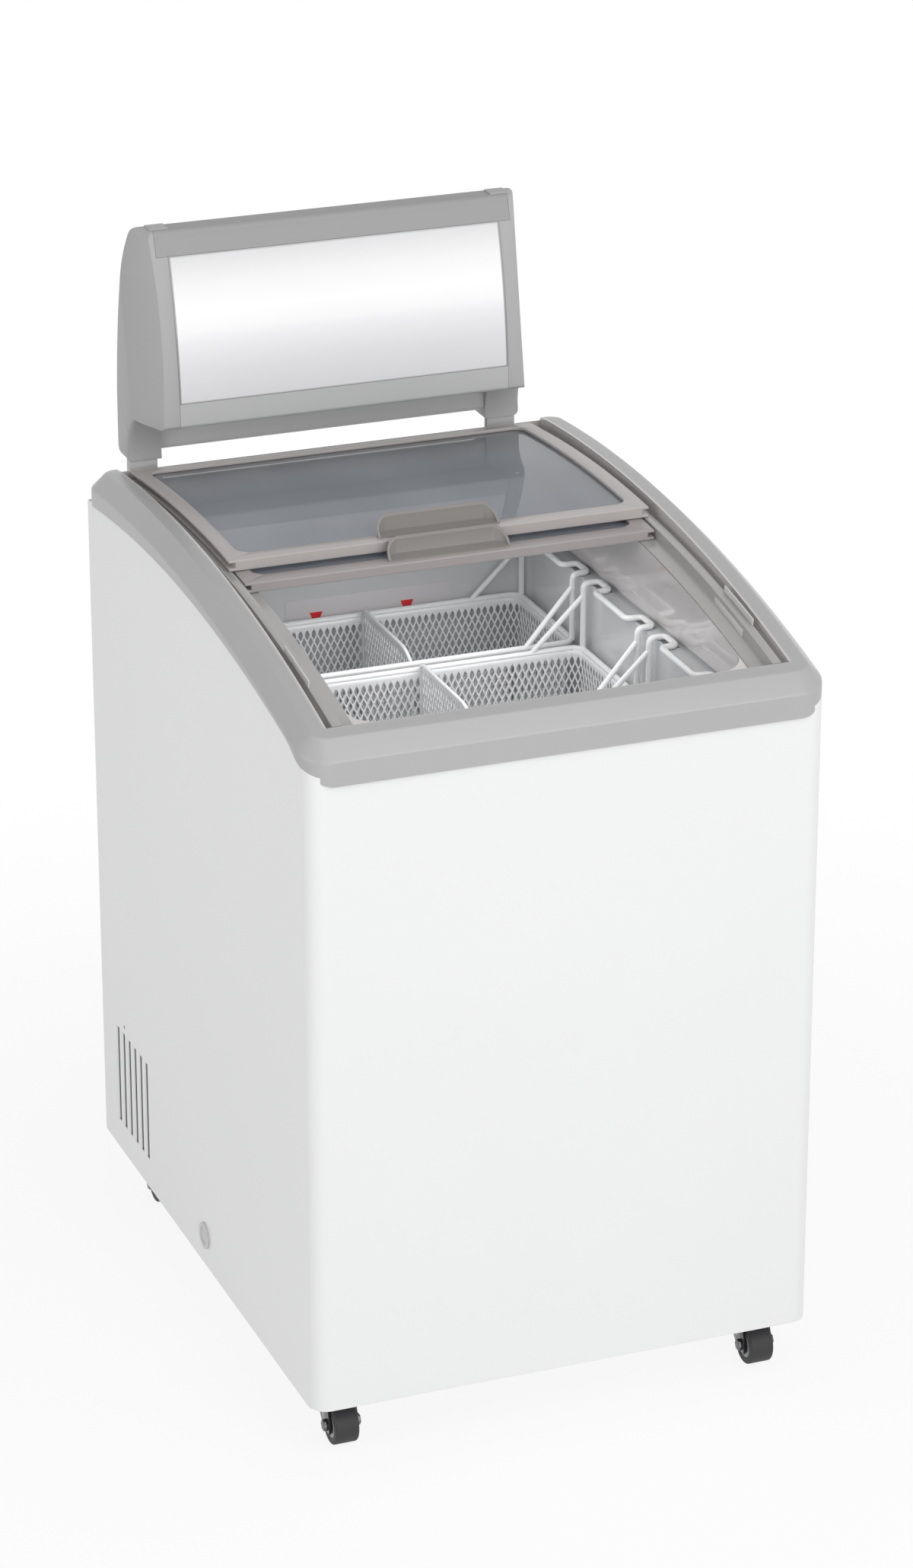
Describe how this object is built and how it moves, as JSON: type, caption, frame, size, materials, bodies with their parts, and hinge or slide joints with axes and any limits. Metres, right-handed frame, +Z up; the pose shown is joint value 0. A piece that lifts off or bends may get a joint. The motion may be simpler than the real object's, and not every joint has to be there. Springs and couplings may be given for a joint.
{
  "type": "ice cream chest freezer",
  "caption": "Upright-walled chest freezer with an arched rim, two curved sliding glass lids, hanging baskets, a sign canopy on posts and swivel castors.",
  "frame": {"origin": "on the floor under the middle of the whole object's box", "axes": "+Z up, -Y out of the front where the user stands, +X to the right in the front view"},
  "size_m": [0.566, 0.759, 1.1275],
  "materials": {
    "white_sheet": "gloss",
    "plain_sheet": "satin",
    "foam": "matte",
    "liner": "satin",
    "tube_metal": "satin",
    "grey_plastic": "satin",
    "pale_plastic": "satin",
    "fin_plastic": "gloss",
    "lid_glass": "clear",
    "basket_coat": "gloss",
    "white_plastic": "gloss",
    "lamp_glass": "frosted",
    "bright_metal": "polished",
    "zinc": "satin",
    "black_paint": "satin",
    "fins": "satin",
    "black_plastic": "matte",
    "copper": "satin",
    "tread": "matte"
  },
  "bodies": {
    "cabinet": {"base_tray": "plain_sheet", "basket_front": "basket_coat", "basket_middle": "basket_coat", "basket_rear": "basket_coat", "cabinet_shell": "white_sheet", "canopy_back_panel": "grey_plastic", "canopy_bottom_rail": "grey_plastic", "canopy_cap_left": "grey_plastic", "canopy_cap_right": "grey_plastic", "canopy_cross_bar": "grey_plastic", "canopy_front_panel": "white_plastic", "canopy_lamp": "lamp_glass", "canopy_lamp_holders": "white_plastic", "canopy_post_left": "grey_plastic", "canopy_post_right": "grey_plastic", "canopy_screws": "bright_metal", "canopy_top_rail": "grey_plastic", "castor_plates": "zinc", "compressor": "black_paint", "condenser": "fins", "control_box": "black_plastic", "divider_front": "basket_coat", "divider_middle": "basket_coat", "divider_rear": "basket_coat", "drain_tube": "pale_plastic", "evaporator_coil": "tube_metal", "fan_motor": "black_paint", "filter_drier": "copper", "inner_liner": "liner", "insulation_foam": "foam", "lid_keeper_clips": "white_plastic", "lid_track_left": "pale_plastic", "lid_track_right": "pale_plastic", "machine_grille": "plain_sheet", "post_bolts": "zinc", "power_inlet": "black_plastic", "rear_panel": "white_sheet", "top_frame": "grey_plastic"},
    "upper_lid": {"upper_lid_frame": "pale_plastic", "upper_lid_glass": "lid_glass", "upper_lid_handle": "fin_plastic"},
    "lower_lid": {"lower_lid_frame": "pale_plastic", "lower_lid_glass": "lid_glass", "lower_lid_handle": "fin_plastic"},
    "drain_plug": {"drain_cap": "white_plastic"},
    "condenser_fan": {"fan_blade": "black_plastic"},
    "knob": {"thermostat_knob": "black_plastic"},
    "rocker": {"light_switch": "black_plastic"},
    "swivel_front_left": {"castor_front_left_fork": "black_paint", "castor_front_left_axle": "zinc"},
    "wheel_front_left": {"castor_front_left_wheel": "tread"},
    "swivel_front_right": {"castor_front_right_fork": "black_paint", "castor_front_right_axle": "zinc"},
    "wheel_front_right": {"castor_front_right_wheel": "tread"},
    "swivel_rear_left": {"castor_rear_left_fork": "black_paint", "castor_rear_left_axle": "zinc"},
    "wheel_rear_left": {"castor_rear_left_wheel": "tread"},
    "swivel_rear_right": {"castor_rear_right_fork": "black_paint", "castor_rear_right_axle": "zinc"},
    "wheel_rear_right": {"castor_rear_right_wheel": "tread"}
  },
  "joints": [
    {"name": "upper_lid_slide", "type": "hinge", "parent": "cabinet", "child": "upper_lid", "pos_m": [0, 0.0955, -1.057], "axis": [1, 0, 0], "range_deg": [0, 9]},
    {"name": "lower_lid_slide", "type": "hinge", "parent": "upper_lid", "child": "lower_lid", "pos_m": [0, 0.0955, -1.057], "axis": [-1, 0, 0], "range_deg": [-9, 0]},
    {"name": "drain_plug_pull", "type": "slide", "parent": "cabinet", "child": "drain_plug", "axis": [-1, 0, 0], "range_m": [0, 0.03]},
    {"name": "fan_spin", "type": "hinge", "parent": "cabinet", "child": "condenser_fan", "pos_m": [-0.2068, 0.2365, 0.14], "axis": [1, 0, 0], "continuous": true},
    {"name": "knob_turn", "type": "hinge", "parent": "cabinet", "child": "knob", "pos_m": [0.06, 0.3315, 0.19], "axis": [0, 1, 0], "range_deg": [0, 270]},
    {"name": "rocker_tip", "type": "hinge", "parent": "cabinet", "child": "rocker", "pos_m": [0.13, 0.3315, 0.19], "axis": [-1, 0, 0], "range_deg": [0, 12]},
    {"name": "swivel_front_left_turn", "type": "hinge", "parent": "cabinet", "child": "swivel_front_left", "pos_m": [-0.236, -0.3205, 0.0542], "axis": [0, 0, 1], "continuous": true},
    {"name": "wheel_front_left_spin", "type": "hinge", "parent": "swivel_front_left", "child": "wheel_front_left", "pos_m": [-0.236, -0.3345, 0.022], "axis": [1, 0, 0], "continuous": true},
    {"name": "swivel_front_right_turn", "type": "hinge", "parent": "cabinet", "child": "swivel_front_right", "pos_m": [0.236, -0.3205, 0.0542], "axis": [0, 0, 1], "continuous": true},
    {"name": "wheel_front_right_spin", "type": "hinge", "parent": "swivel_front_right", "child": "wheel_front_right", "pos_m": [0.236, -0.3345, 0.022], "axis": [1, 0, 0], "continuous": true},
    {"name": "swivel_rear_left_turn", "type": "hinge", "parent": "cabinet", "child": "swivel_rear_left", "pos_m": [-0.236, 0.2675, 0.0542], "axis": [0, 0, 1], "continuous": true},
    {"name": "wheel_rear_left_spin", "type": "hinge", "parent": "swivel_rear_left", "child": "wheel_rear_left", "pos_m": [-0.236, 0.2535, 0.022], "axis": [1, 0, 0], "continuous": true},
    {"name": "swivel_rear_right_turn", "type": "hinge", "parent": "cabinet", "child": "swivel_rear_right", "pos_m": [0.236, 0.2675, 0.0542], "axis": [0, 0, 1], "continuous": true},
    {"name": "wheel_rear_right_spin", "type": "hinge", "parent": "swivel_rear_right", "child": "wheel_rear_right", "pos_m": [0.236, 0.2535, 0.022], "axis": [1, 0, 0], "continuous": true}
  ]
}
